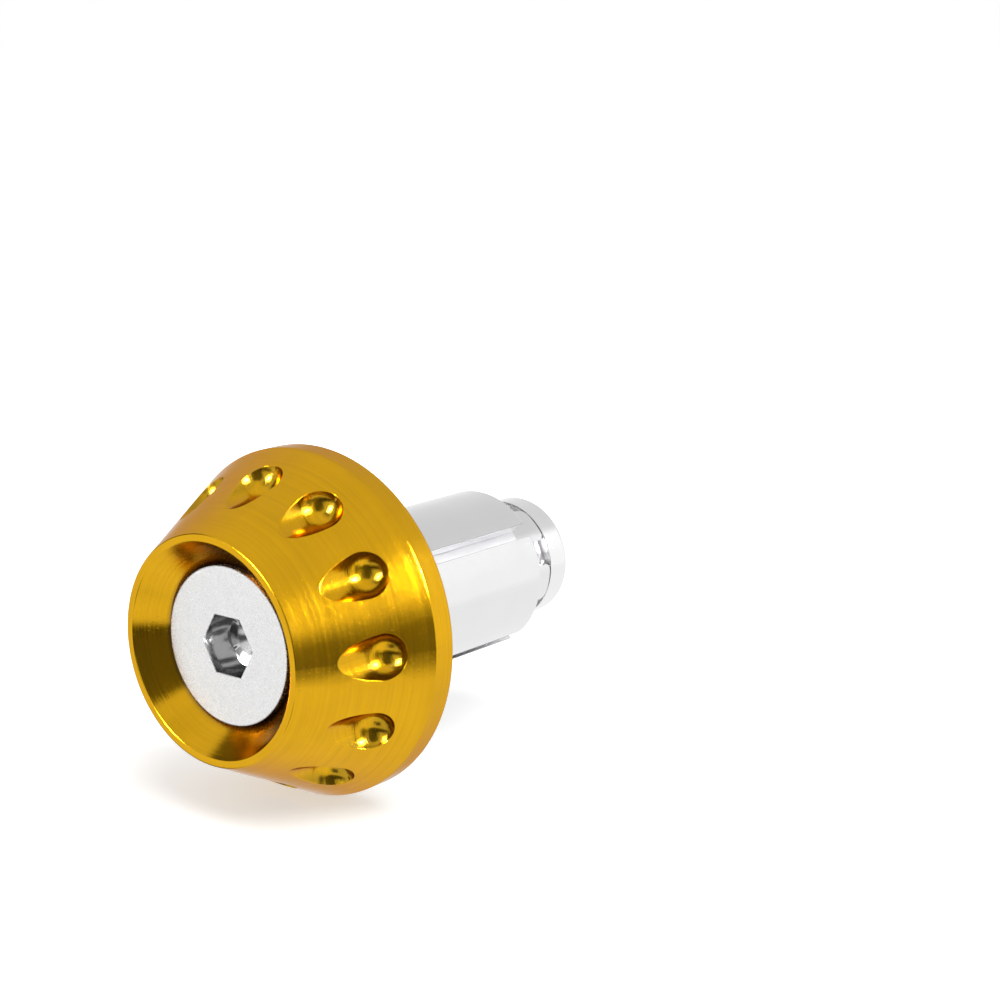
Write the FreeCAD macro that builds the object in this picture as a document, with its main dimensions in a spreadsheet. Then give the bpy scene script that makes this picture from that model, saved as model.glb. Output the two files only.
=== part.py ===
import FreeCAD, Part
import math
import os

import Sketcher

# Bar end weight for a motorcycle handlebar.
# The bar's axis is Y. The nose of the weight points to -Y, the plug that goes into the bar to +Y,
# and the origin lies on the axis where the back of the washer meets the end of the bar.
# All lengths are millimetres and all angles degrees.

SIZES = [
    ("bar_bore", 18.0, "bore of the handlebar tube"),
    ("collar_gap", 0.1, "radial gap between collar and bar"),
    ("sleeve_gap", 0.25, "radial gap between the slack sleeve and the bar"),
    ("head_length", 16.45, "nose of the head to the back of the washer"),
    ("rim_dia", 36.4, "largest diameter of the head"),
    ("lip_dia", 23.5, "outer diameter of the nose lip"),
    ("lip_width", 0.75, "flat width of the nose lip"),
    ("lip_round", 0.18, "rounding of both edges of the lip"),
    ("band_width", 2.5, "straight band behind the ridge of the head"),
    ("back_bevel", 0.95, "depth of the bevel behind the band"),
    ("edge_round", 0.3, "rounding of the ridge and of the back edge"),
    ("dish_half_angle", 40.0, "half angle of the countersunk dish"),
    ("collar_length", 3.0, "collar that stands out of the back of the head"),
    ("collar_chamfer", 0.5, "chamfer at the end of the collar"),
    ("neck_relief", 0.3, "undercut of the collar where it passes through the washer"),
    ("dimple_count", 12, "dimples round the cone"),
    ("dimple_turn", 1.9, "turn of the first dimple about the axis"),
    ("cutter_dia", 5.0, "ball cutter that sinks the dimples"),
    ("cutter_tilt", 3.2, "lean of that cutter towards the axis in front of the nose"),
    ("dimple_from_lip", 9.05, "lip to the deep end's ball centre, along the cone"),
    ("dimple_rise", 0.65, "height of that ball centre over the cone"),
    ("washer_dia", 30.6, "outer diameter of the washer"),
    ("washer_thick", 1.6, "thickness of the washer"),
    ("washer_gap", 0.05, "radial gap round the washer"),
    ("washer_proud", 0.1, "washer standing out of the back of the head"),
    ("washer_round", 0.25, "rounding of the washer's back edge"),
    ("sleeve_length", 22.6, "length of the outer sleeve"),
    ("sleeve_wall", 1.75, "wall of the outer sleeve"),
    ("sleeve_round", 0.4, "rounding of the sleeve's outer edges"),
    ("slot_count", 4, "slots in the sleeve"),
    ("slot_width", 1.5, "width of a sleeve slot"),
    ("slot_start", 2.8, "closed ring of the sleeve before its slots"),
    ("slot_flare", 0.8, "rounding of the petals' corners"),
    ("sleeve_turn", 38.2, "turn of the sleeve about the axis"),
    ("collet_gap", 0.05, "radial gap between collet and sleeve"),
    ("collet_length", 26.45, "length of the inner collet"),
    ("collet_bore_dia", 10.6, "bore between the collet's fingers"),
    ("collet_floor", 3.6, "thickness of the collet's closed end"),
    ("window_start", 4.75, "closed ring of the collet before its windows"),
    ("window_angle", 85.0, "angle of each wide window"),
    ("gap_angle", 22.5, "angle of each narrow gap between fingers"),
    ("pair_count", 2, "narrow gaps, wide windows and lugs, two of each"),
    ("finger_round", 0.8, "rounding of the fingers' corners"),
    ("mouth_dia", 12.3, "mouth between the finger ends"),
    ("wedge_half_angle", 15.0, "half angle of the nut's wedge and of the mouth"),
    ("collet_turn", 17.9, "turn of collet and nut about the axis"),
    ("nut_gap", 0.5, "finger ends to the nut's flange, screw slack"),
    ("wedge_play", 0.42, "travel of the nut before its wedge meets the fingers"),
    ("nut_core_dia", 10.0, "barrel of the nut between its lugs"),
    ("nut_nose", 8.5, "length of the nut in front of its flange"),
    ("lug_angle", 69.0, "angle of each lug of the nut"),
    ("lug_gap", 0.1, "radial gap between lugs and sleeve"),
    ("lug_setback", 0.7, "end of the lugs to the finger ends"),
    ("neck_depth", 0.35, "depth of the relief in front of the flange"),
    ("flange_dia", 13.4, "flange of the nut"),
    ("flange_thick", 3.35, "thickness of the flange"),
    ("flange_round", 0.8, "rounding of the flange's outer edge"),
    ("thread_dia", 8.0, "screw thread"),
    ("thread_gap", 0.05, "radial running gap of the screw in the nut"),
    ("thread_mouth", 0.4, "chamfer at the mouth of the nut's thread"),
    ("passage_gap", 0.3, "radial gap of the screw in head and collet"),
    ("screw_length", 45.0, "length of the flat head screw over all"),
    ("screw_head_dia", 16.2, "head of the screw"),
    ("screw_land", 0.86, "straight edge of the screw's head"),
    ("screw_half_angle", 45.0, "half angle under the screw's head"),
    ("screw_seat_gap", 0.03, "play of the screw's head in the dish"),
    ("screw_tip", 0.7, "chamfer at the tip of the screw"),
    ("hex_width", 6.0, "hexagon across flats"),
    ("hex_depth", 3.4, "depth of the hexagon"),
    ("hex_cone", 1.0, "depth of the drill point under the hexagon"),
]

# Radii and places that several pieces share
LIP_R = "Sizes.lip_dia / 2"
RIM_R = "Sizes.rim_dia / 2"
DISH_R = "(Sizes.lip_dia / 2 - Sizes.lip_width)"
COLLAR_R = "(Sizes.bar_bore / 2 - Sizes.collar_gap)"
SLEEVE_R = "(Sizes.bar_bore / 2 - Sizes.sleeve_gap)"
SLEEVE_BORE_R = f"({SLEEVE_R} - Sizes.sleeve_wall)"
COLLET_R = f"({SLEEVE_BORE_R} - Sizes.collet_gap)"
THREAD_R = "Sizes.thread_dia / 2"
PASSAGE_R = "(Sizes.thread_dia / 2 + Sizes.passage_gap)"
WASHER_SEAT_R = "(Sizes.washer_dia / 2 + Sizes.washer_gap)"
RIDGE_Y = "(Sizes.back_bevel + Sizes.band_width)"
CONE_LENGTH = f"(Sizes.head_length - {RIDGE_Y})"
CONE_ANGLE = f"atan(({RIM_R} - {LIP_R}) / {CONE_LENGTH})"
SCREW_R = "Sizes.screw_head_dia / 2"
SCREW_SINK = (
    f"(({DISH_R} - {SCREW_R}) / tan(Sizes.dish_half_angle) - Sizes.screw_land - Sizes.screw_seat_gap)"
)
FLANGE_Y = "(Sizes.collar_length + Sizes.collet_length + Sizes.nut_gap)"

doc = FreeCAD.newDocument("bar_end_weight")
sheet = doc.addObject("Spreadsheet::Sheet", "Sizes")
for row, (word, size, meaning) in enumerate(SIZES, start=1):
    sheet.set(f"A{row}", word)
    sheet.set(f"B{row}", str(size))
    sheet.set(f"C{row}", meaning)
    sheet.setAlias(f"B{row}", word)
doc.recompute()


def size_of(formula):
    """Value of a formula over the sheet, as a plain number."""
    result = sheet.evalExpression(str(formula).replace("Sizes.", ""))
    return float(getattr(result, "Value", result))


def origin_part(body, role):
    """One of the body's own origin planes or axes."""
    return next(item for item in body.Origin.OriginFeatures if item.Role == role)


def new_body(label, shift="0", turn="0"):
    """A sub-part that is moved along the bar's axis and turned about it."""
    body = doc.addObject("PartDesign::Body", label)
    body.Label = label
    body.Placement.Rotation = FreeCAD.Rotation(FreeCAD.Vector(0, 1, 0), -size_of(turn))
    body.setExpression("Placement.Base.y", str(shift))
    if size_of(turn):
        body.setExpression("Placement.Rotation.Angle", f"{turn} * 1 deg")
        body.Placement.Rotation.Axis = FreeCAD.Vector(0, -1, 0)
    return body


def sketch_on(body, name, plane):
    """An empty sketch on one of the body's origin planes."""
    sketch = body.newObject("Sketcher::SketchObject", name)
    sketch.AttachmentSupport = (origin_part(body, plane), [""])
    sketch.MapMode = "FlatFace"
    return sketch


def pin_point(sketch, edge, end, name, place):
    """Tie an end of a sketch edge to formulas for its two distances from the origin."""
    for direction, formula in zip("XY", place):
        constraint = Sketcher.Constraint(f"Distance{direction}", -1, 1, edge, end, size_of(formula))
        index = sketch.addConstraint(constraint)
        sketch.renameConstraint(index, f"{name}_{direction.lower()}")
        sketch.setExpression(f"Constraints.{name}_{direction.lower()}", str(formula))


def outline(sketch, corners, arcs=None):
    """A closed outline through the corners; arcs gives the centre of the edge that leaves a corner."""
    arcs = arcs or {}
    spots = [FreeCAD.Vector(size_of(x), size_of(y), 0) for x, y in corners]
    starts = []
    ends = []
    for index, start in enumerate(spots):
        end = spots[(index + 1) % len(spots)]
        if index in arcs:
            centre = FreeCAD.Vector(*(size_of(part) for part in arcs[index]), 0)
            first = start - centre
            last = end - centre
            forward = first.cross(last).z > 0
            low, high = (first, last) if forward else (last, first)
            circle = Part.Circle(centre, FreeCAD.Vector(0, 0, 1), first.Length)
            angles = (math.atan2(low.y, low.x), math.atan2(high.y, high.x))
            edge = sketch.addGeometry(Part.ArcOfCircle(circle, *angles))
            starts.append((edge, 1 if forward else 2))
            ends.append((edge, 2 if forward else 1))
        else:
            edge = sketch.addGeometry(Part.LineSegment(start, end))
            starts.append((edge, 1))
            ends.append((edge, 2))
    for index, corner in enumerate(corners):
        sketch.addConstraint(Sketcher.Constraint("Coincident", *ends[index - 1], *starts[index]))
        pin_point(sketch, *starts[index], f"corner{index}", corner)
    for index, centre in arcs.items():
        edge = starts[index][0]
        radius = Sketcher.Constraint("Radius", edge, size_of(arc_radius(corners[index], centre)))
        number = sketch.addConstraint(radius)
        sketch.renameConstraint(number, f"radius{index}")
        sketch.setExpression(f"Constraints.radius{index}", arc_radius(corners[index], centre))


def arc_radius(corner, centre):
    """Formula for the distance from an arc's centre to its first corner."""
    return f"sqrt((({corner[0]}) - ({centre[0]}))^2 + (({corner[1]}) - ({centre[1]}))^2)"


def axis_line(sketch, start, end):
    """A construction line that a groove can turn about."""
    spots = [FreeCAD.Vector(size_of(x), size_of(y), 0) for x, y in (start, end)]
    edge = sketch.addGeometry(Part.LineSegment(*spots), True)
    pin_point(sketch, edge, 1, "axis_start", start)
    pin_point(sketch, edge, 2, "axis_end", end)


def ring(sketch, name, radius):
    """A circle about the sketch's origin."""
    circle = Part.Circle(FreeCAD.Vector(0, 0, 0), FreeCAD.Vector(0, 0, 1), size_of(radius))
    edge = sketch.addGeometry(circle)
    sketch.addConstraint(Sketcher.Constraint("Coincident", edge, 3, -1, 1))
    index = sketch.addConstraint(Sketcher.Constraint("Radius", edge, size_of(radius)))
    sketch.renameConstraint(index, name)
    sketch.setExpression(f"Constraints.{name}", radius)


def turned(body, kind, name, sketch, axis="V_Axis", angle=None):
    """A revolution or groove of a sketch; a part turn is centred on the sketch's plane."""
    feature = body.newObject(f"PartDesign::{kind}", name)
    feature.Profile = sketch
    feature.ReferenceAxis = (sketch, [axis])
    feature.Angle = 360
    if angle:
        feature.Midplane = True
        feature.setExpression("Angle", angle)
    sketch.Visibility = False
    return settle(body, feature, kind == "Groove")


def settle(body, feature, cuts):
    """Make the feature the body's tip, and stop if it didn't change the solid as it should."""
    body.Tip = feature
    doc.recompute()
    base = feature.BaseFeature
    before = base.Shape.Volume if base and not base.Shape.isNull() else 0.0
    after = 0.0 if feature.Shape.isNull() else feature.Shape.Volume
    changed = 0 < after < before - 1e-6 if cuts else after > before + 1e-6
    if not changed:
        raise RuntimeError(f"{feature.Label} left the solid as it was")
    return feature


def around(body, name, feature, count, cuts):
    """Copies of a feature, evenly spaced about the bar's axis."""
    pattern = body.newObject("PartDesign::PolarPattern", name)
    pattern.Originals = [feature]
    pattern.Axis = (origin_part(body, "Y_Axis"), [""])
    pattern.Angle = 360
    pattern.Occurrences = int(size_of(count))
    pattern.setExpression("Occurrences", count)
    return settle(body, pattern, cuts)


def rings_at(shape, places):
    """Names of the round edges about the axis with the given radius and height."""
    wanted = [(size_of(radius), size_of(height)) for radius, height in places]
    names = []
    for index, edge in enumerate(shape.Edges, start=1):
        curve = edge.Curve
        if not isinstance(curve, Part.Circle):
            continue
        centre = curve.Center
        if math.hypot(centre.x, centre.z) > 1e-4:
            continue
        if any(abs(curve.Radius - r) < 1e-4 and abs(centre.y - y) < 1e-4 for r, y in wanted):
            names.append(f"Edge{index}")
    return names


def spokes_at(shape, height):
    """Names of the straight edges that lie in the end face at this height."""
    level = size_of(height)
    names = []
    for index, edge in enumerate(shape.Edges, start=1):
        flat = all(abs(vertex.Point.y - level) < 1e-4 for vertex in edge.Vertexes)
        if flat and isinstance(edge.Curve, Part.Line):
            names.append(f"Edge{index}")
    return names


def rounded(body, name, edges, radius):
    """Round the named edges of the body's tip."""
    sharp = body.Tip
    fillet = body.newObject("PartDesign::Fillet", name)
    fillet.Base = (sharp, edges)
    fillet.setExpression("Radius", radius)
    return settle(body, fillet, True)


def bevelled(body, name, edges, width):
    """Chamfer the named edges of the body's tip."""
    sharp = body.Tip
    chamfer = body.newObject("PartDesign::Chamfer", name)
    chamfer.Base = (sharp, edges)
    chamfer.setExpression("Size", width)
    return settle(body, chamfer, True)


def make_head():
    """Turned head: cone, ridge, band and back bevel outside, countersunk dish inside, collar behind."""
    body = new_body("weight_head", turn="Sizes.dimple_turn")

    sketch = sketch_on(body, "head_outline", "XY_Plane")
    outline(sketch, [
        ("0", "-Sizes.head_length"),
        (LIP_R, "-Sizes.head_length"),
        (RIM_R, f"-{RIDGE_Y}"),
        (RIM_R, "-Sizes.back_bevel"),
        (WASHER_SEAT_R, "-Sizes.washer_proud"),
        (WASHER_SEAT_R, "-Sizes.washer_thick"),
        (f"{COLLAR_R} - Sizes.neck_relief", "-Sizes.washer_thick"),
        (f"{COLLAR_R} - Sizes.neck_relief", "0"),
        (COLLAR_R, "0"),
        (COLLAR_R, "Sizes.collar_length"),
        ("0", "Sizes.collar_length"),
    ])
    turned(body, "Revolution", "head_blank", sketch)

    # The dish is one straight countersink that runs down into the screw's passage
    sketch = sketch_on(body, "dish_outline", "XY_Plane")
    dish_depth = f"({DISH_R} - {PASSAGE_R}) / tan(Sizes.dish_half_angle)"
    outline(sketch, [
        ("0", "-Sizes.head_length"),
        (DISH_R, "-Sizes.head_length"),
        (PASSAGE_R, f"-Sizes.head_length + {dish_depth}"),
        (PASSAGE_R, "Sizes.collar_length"),
        ("0", "Sizes.collar_length"),
    ])
    turned(body, "Groove", "dish_and_passage", sketch)

    lip = [(LIP_R, "-Sizes.head_length"), (DISH_R, "-Sizes.head_length")]
    rounded(body, "lip_rounding", rings_at(body.Tip.Shape, lip), "Sizes.lip_round")
    rim = [(RIM_R, f"-{RIDGE_Y}"), (RIM_R, "-Sizes.back_bevel")]
    rounded(body, "rim_rounding", rings_at(body.Tip.Shape, rim), "Sizes.edge_round")
    collar_end = rings_at(body.Tip.Shape, [(COLLAR_R, "Sizes.collar_length")])
    bevelled(body, "collar_bevel", collar_end, "Sizes.collar_chamfer")

    # A ball cutter sinks each dimple, nearly along the axis, so that it ends in a thin tail at the nose
    ball_x = (
        f"({LIP_R} + Sizes.dimple_from_lip * sin({CONE_ANGLE}) + Sizes.dimple_rise * cos({CONE_ANGLE}))"
    )
    ball_y = (
        f"(-Sizes.head_length + Sizes.dimple_from_lip * cos({CONE_ANGLE})"
        f" - Sizes.dimple_rise * sin({CONE_ANGLE}))"
    )
    ball_r = "Sizes.cutter_dia / 2"
    along_x, along_y = "-sin(Sizes.cutter_tilt)", "-cos(Sizes.cutter_tilt)"
    across_x, across_y = "-cos(Sizes.cutter_tilt)", "sin(Sizes.cutter_tilt)"
    shank_x = f"{ball_x} + Sizes.head_length * {along_x}"
    shank_y = f"{ball_y} + Sizes.head_length * ({along_y})"
    tip = (f"{ball_x} - {ball_r} * {along_x}", f"{ball_y} - {ball_r} * ({along_y})")
    sketch = sketch_on(body, "cutter_outline", "XY_Plane")
    outline(sketch, [
        tip,
        (shank_x, shank_y),
        (f"{shank_x} + {ball_r} * ({across_x})", f"{shank_y} + {ball_r} * ({across_y})"),
        (f"{ball_x} + {ball_r} * ({across_x})", f"{ball_y} + {ball_r} * ({across_y})"),
    ], arcs={3: (ball_x, ball_y)})
    axis_line(sketch, tip, (shank_x, shank_y))
    dimple = turned(body, "Groove", "dimple", sketch, axis="Axis0")
    around(body, "dimples", dimple, "Sizes.dimple_count", True)
    return body


def make_washer():
    """Flat washer that beds the head on the end of the bar."""
    body = new_body("seat_washer")
    sketch = sketch_on(body, "washer_rings", "XZ_Plane")
    ring(sketch, "outside", "Sizes.washer_dia / 2")
    ring(sketch, "inside", f"{COLLAR_R} + Sizes.washer_gap")
    disc = body.newObject("PartDesign::Pad", "washer_disc")
    disc.Profile = sketch
    disc.setExpression("Length", "Sizes.washer_thick")
    sketch.Visibility = False
    settle(body, disc, False)
    back_edge = rings_at(body.Tip.Shape, [("Sizes.washer_dia / 2", "0")])
    rounded(body, "washer_edge", back_edge, "Sizes.washer_round")
    return body


def make_sleeve():
    """Outer sleeve, slotted into petals that press on the bar from inside."""
    body = new_body("split_sleeve", "Sizes.collar_length", "Sizes.sleeve_turn")
    sketch = sketch_on(body, "sleeve_wall", "XY_Plane")
    outline(sketch, [
        (SLEEVE_BORE_R, "0"),
        (SLEEVE_R, "0"),
        (SLEEVE_R, "Sizes.sleeve_length"),
        (SLEEVE_BORE_R, "Sizes.sleeve_length"),
    ])
    turned(body, "Revolution", "sleeve_tube", sketch)
    outer_edges = rings_at(body.Tip.Shape, [(SLEEVE_R, "0"), (SLEEVE_R, "Sizes.sleeve_length")])
    rounded(body, "sleeve_edges", outer_edges, "Sizes.sleeve_round")

    # Each slot is square at its closed end and opens between rounded petal corners
    half = "Sizes.slot_width / 2"
    flare_y = "Sizes.sleeve_length - Sizes.slot_flare"
    wide = f"({half} + Sizes.slot_flare)"
    sketch = sketch_on(body, "slot_outline", "XY_Plane")
    outline(sketch, [
        (f"-{half}", "Sizes.slot_start"),
        (half, "Sizes.slot_start"),
        (half, flare_y),
        (wide, "Sizes.sleeve_length"),
        (f"-{wide}", "Sizes.sleeve_length"),
        (f"-{half}", flare_y),
    ], arcs={2: (wide, flare_y), 4: (f"-{wide}", flare_y)})
    slot = body.newObject("PartDesign::Pocket", "slot")
    slot.Profile = sketch
    slot.Reversed = True
    slot.setExpression("Length", SLEEVE_R)
    sketch.Visibility = False
    settle(body, slot, True)
    around(body, "slots", slot, "Sizes.slot_count", True)
    return body


def make_collet():
    """Inner collet: a closed ring and four fingers between two wide windows and two narrow gaps."""
    body = new_body("finger_collet", "Sizes.collar_length", "Sizes.collet_turn")
    bore_r = "Sizes.collet_bore_dia / 2"
    mouth_r = "Sizes.mouth_dia / 2"
    mouth_depth = f"({mouth_r} - {bore_r}) / tan(Sizes.wedge_half_angle)"
    sketch = sketch_on(body, "collet_wall", "XY_Plane")
    outline(sketch, [
        (PASSAGE_R, "0"),
        (COLLET_R, "0"),
        (COLLET_R, "Sizes.collet_length"),
        (mouth_r, "Sizes.collet_length"),
        (bore_r, f"Sizes.collet_length - {mouth_depth}"),
        (bore_r, "Sizes.collet_floor"),
        (PASSAGE_R, "Sizes.collet_floor"),
    ])
    turned(body, "Revolution", "collet_tube", sketch)

    sketch = sketch_on(body, "gap_outline", "XY_Plane")
    outline(sketch, [
        ("0", "Sizes.window_start"),
        (SLEEVE_R, "Sizes.window_start"),
        (SLEEVE_R, "Sizes.collet_length"),
        ("0", "Sizes.collet_length"),
    ])
    narrow = turned(body, "Groove", "narrow_gap", sketch, angle="Sizes.gap_angle")
    around(body, "narrow_gaps", narrow, "Sizes.pair_count", True)

    sketch = sketch_on(body, "window_outline", "YZ_Plane")
    outline(sketch, [
        ("Sizes.window_start", "0"),
        ("Sizes.collet_length", "0"),
        ("Sizes.collet_length", SLEEVE_R),
        ("Sizes.window_start", SLEEVE_R),
    ])
    window = turned(body, "Groove", "wide_window", sketch, axis="H_Axis", angle="Sizes.window_angle")
    around(body, "wide_windows", window, "Sizes.pair_count", True)

    finger_corners = spokes_at(body.Tip.Shape, "Sizes.collet_length")
    rounded(body, "finger_rounding", finger_corners, "Sizes.finger_round")
    return body


def make_nut():
    """Nut with a wedge that spreads the fingers and two lugs that ride in the windows."""
    body = new_body("wedge_nut", f"{FLANGE_Y} - Sizes.nut_nose", "Sizes.collet_turn")
    core_r = "Sizes.nut_core_dia / 2"
    flange_r = "Sizes.flange_dia / 2"
    bore_r = f"({THREAD_R} + Sizes.thread_gap)"
    # Radius of the wedge where the lugs end, seen back from the mouth of the fingers
    wedge_r = (
        "(Sizes.mouth_dia / 2"
        " - (Sizes.wedge_play + Sizes.lug_setback) * tan(Sizes.wedge_half_angle))"
    )
    lug_end = "(Sizes.nut_nose - Sizes.nut_gap - Sizes.lug_setback)"
    wedge_start = f"({lug_end} - ({wedge_r} - {core_r}) / tan(Sizes.wedge_half_angle))"
    neck = "(Sizes.nut_gap + Sizes.lug_setback)"
    neck_radius = f"((({neck} / 2)^2 + Sizes.neck_depth^2) / (2 * Sizes.neck_depth))"
    neck_centre = (f"{wedge_r} + {neck_radius} - Sizes.neck_depth", f"{lug_end} + {neck} / 2")
    nut_end = "(Sizes.nut_nose + Sizes.flange_thick)"
    sketch = sketch_on(body, "nut_outline", "XY_Plane")
    outline(sketch, [
        (bore_r, "0"),
        (core_r, "0"),
        (core_r, wedge_start),
        (wedge_r, lug_end),
        (wedge_r, "Sizes.nut_nose"),
        (flange_r, "Sizes.nut_nose"),
        (flange_r, nut_end),
        (bore_r, nut_end),
    ], arcs={3: neck_centre})
    turned(body, "Revolution", "nut_blank", sketch)
    rounded(body, "flange_edge", rings_at(body.Tip.Shape, [(flange_r, nut_end)]), "Sizes.flange_round")
    bevelled(body, "thread_lead", rings_at(body.Tip.Shape, [(bore_r, nut_end)]), "Sizes.thread_mouth")

    lug_r = f"({SLEEVE_BORE_R} - Sizes.lug_gap)"
    sketch = sketch_on(body, "lug_outline", "YZ_Plane")
    outline(sketch, [
        ("0", bore_r),
        (lug_end, bore_r),
        (lug_end, lug_r),
        ("0", lug_r),
    ])
    lug = turned(body, "Revolution", "lug", sketch, axis="H_Axis", angle="Sizes.lug_angle")
    around(body, "lugs", lug, "Sizes.pair_count", False)
    return body


def make_screw():
    """Flat head screw with a hexagon socket; its thread is left plain."""
    body = new_body("flat_screw", f"-Sizes.head_length + {SCREW_SINK}")
    cone_end = f"(Sizes.screw_land + ({SCREW_R} - {THREAD_R}) / tan(Sizes.screw_half_angle))"
    sketch = sketch_on(body, "screw_outline", "XY_Plane")
    outline(sketch, [
        ("0", "0"),
        (SCREW_R, "0"),
        (SCREW_R, "Sizes.screw_land"),
        (THREAD_R, cone_end),
        (THREAD_R, "Sizes.screw_length - Sizes.screw_tip"),
        (f"{THREAD_R} - Sizes.screw_tip", "Sizes.screw_length"),
        ("0", "Sizes.screw_length"),
    ])
    turned(body, "Revolution", "screw_blank", sketch)

    corner = "Sizes.hex_width / 2 / cos(30)"
    sketch = sketch_on(body, "hexagon", "XZ_Plane")
    outline(sketch, [(f"{corner} * cos({step * 60})", f"{corner} * sin({step * 60})") for step in range(6)])
    socket = body.newObject("PartDesign::Pocket", "hex_socket")
    socket.Profile = sketch
    socket.setExpression("Length", "Sizes.hex_depth")
    sketch.Visibility = False
    settle(body, socket, True)

    sketch = sketch_on(body, "drill_point", "XY_Plane")
    outline(sketch, [
        ("0", "Sizes.hex_depth"),
        ("Sizes.hex_width / 2", "Sizes.hex_depth"),
        ("0", "Sizes.hex_depth + Sizes.hex_cone"),
    ])
    turned(body, "Groove", "socket_floor", sketch)
    return body


def write_parts(bodies):
    """Check every object of the document, then write each sub-part to its own file."""
    doc.recompute()
    for item in doc.Objects:
        if any(word in item.State for word in ("Invalid", "Error")):
            raise RuntimeError(f"{item.Label} failed: {item.State}")
    for body in bodies:
        if body.Shape.isNull() or not body.Shape.isValid() or len(body.Shape.Solids) != 1:
            raise RuntimeError(f"{body.Label} is not one valid solid")
    os.makedirs("parts", exist_ok=True)
    for body in bodies:
        body.Shape.exportStep(f"parts/{body.Label}.step")
        box = body.Shape.BoundBox
        print(f"{body.Label}: {body.Shape.Volume:.1f} mm3, y {box.YMin:.2f} to {box.YMax:.2f}")


write_parts([make_head(), make_washer(), make_sleeve(), make_collet(), make_nut(), make_screw()])
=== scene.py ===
"""Finishes, threads and studio stage for the weight at the end of a handlebar."""

import math
from collections import namedtuple

import bmesh
import bpy
from bpy.props import FloatProperty, FloatVectorProperty, IntProperty, PointerProperty
from bpy.types import Operator, Panel, PropertyGroup
from mathutils import Matrix, Vector


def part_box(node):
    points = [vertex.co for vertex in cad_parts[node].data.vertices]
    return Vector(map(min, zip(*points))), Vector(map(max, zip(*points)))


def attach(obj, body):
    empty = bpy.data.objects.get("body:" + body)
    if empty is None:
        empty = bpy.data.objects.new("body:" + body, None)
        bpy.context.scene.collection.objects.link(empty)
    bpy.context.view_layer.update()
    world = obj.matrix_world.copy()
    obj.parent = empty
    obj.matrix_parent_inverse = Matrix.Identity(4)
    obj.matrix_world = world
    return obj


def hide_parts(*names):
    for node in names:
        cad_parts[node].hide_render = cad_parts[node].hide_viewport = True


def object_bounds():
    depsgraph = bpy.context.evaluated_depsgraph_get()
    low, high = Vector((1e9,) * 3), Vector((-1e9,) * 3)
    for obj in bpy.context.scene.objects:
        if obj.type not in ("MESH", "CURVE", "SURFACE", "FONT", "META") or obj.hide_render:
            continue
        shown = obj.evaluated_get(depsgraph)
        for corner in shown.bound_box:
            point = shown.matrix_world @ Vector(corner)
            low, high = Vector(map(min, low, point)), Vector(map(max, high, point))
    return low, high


bl_info = {
    "name": "Bar end weight",
    "version": (1, 0, 0),
    "blender": (4, 5, 0),
    "location": "3D View > Sidebar > Bar end",
    "description": "Finishes, threads and studio stage for a handlebar end weight",
    "category": "Object",
}

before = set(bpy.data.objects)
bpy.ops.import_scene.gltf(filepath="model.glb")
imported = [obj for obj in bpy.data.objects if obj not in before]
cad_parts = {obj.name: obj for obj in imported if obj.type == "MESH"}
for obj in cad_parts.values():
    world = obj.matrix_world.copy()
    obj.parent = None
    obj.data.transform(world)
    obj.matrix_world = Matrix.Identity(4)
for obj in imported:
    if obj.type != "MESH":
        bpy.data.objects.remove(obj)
CAD_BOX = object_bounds()
MM = 0.001

# The head's cone: its radius at the nose, how much wider it gets along the axis, and its length
CONE_START = 11.75 * MM
CONE_SLOPE = 0.5
CONE_LENGTH = 12.85 * MM

# The dimples: how many, the turn of the first in degrees, and where the ball cutter's centre and axis end up
DIMPLES = 12
DIMPLE_TURN = 1.9
BALL_RADIUS = 2.5 * MM
BALL_OUT = 16.38 * MM
BALL_ALONG = -8.65 * MM
CUTTER_LEAN = 0.056

# How far behind the nose the dimples can begin, and how deep they can go under the cone
DIMPLE_START = 1.2 * MM
DIMPLE_DEPTH = 2.3 * MM

# The painted shade in the seat round the screw's head: its radius, where it has faded out, and its reach
# behind the nose
SEAT_RADIUS = 8.35 * MM
SEAT_FADED = 8.85 * MM
SEAT_REACH = 4.5 * MM

# The screw: the radius that holds its socket, and where its thread starts behind its face
SOCKET_RADIUS = 3.55 * MM
THREAD_START = 7.0 * MM

# The thread's ridge: rows of the mesh to a turn, and the width of one flank in half pitches
ROWS_PER_TURN = 16
FLANK_WIDTH = 0.625

# The floor: its radius, its play under the rim, and how far out its extra white starts to rise and is full
FLOOR_RADIUS = 4.0
FLOOR_GAP = 0.02 * MM
GLOW_START = 0.06
GLOW_FULL = 0.16

# The lamp and the cards stand this far out; the lamp's bearing in degrees, and its width
STUDIO_REACH = 0.6
LAMP_AZIMUTH = 70.0
LAMP_ELEVATION = 62.0
LAMP_WIDTH = 0.5

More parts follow.
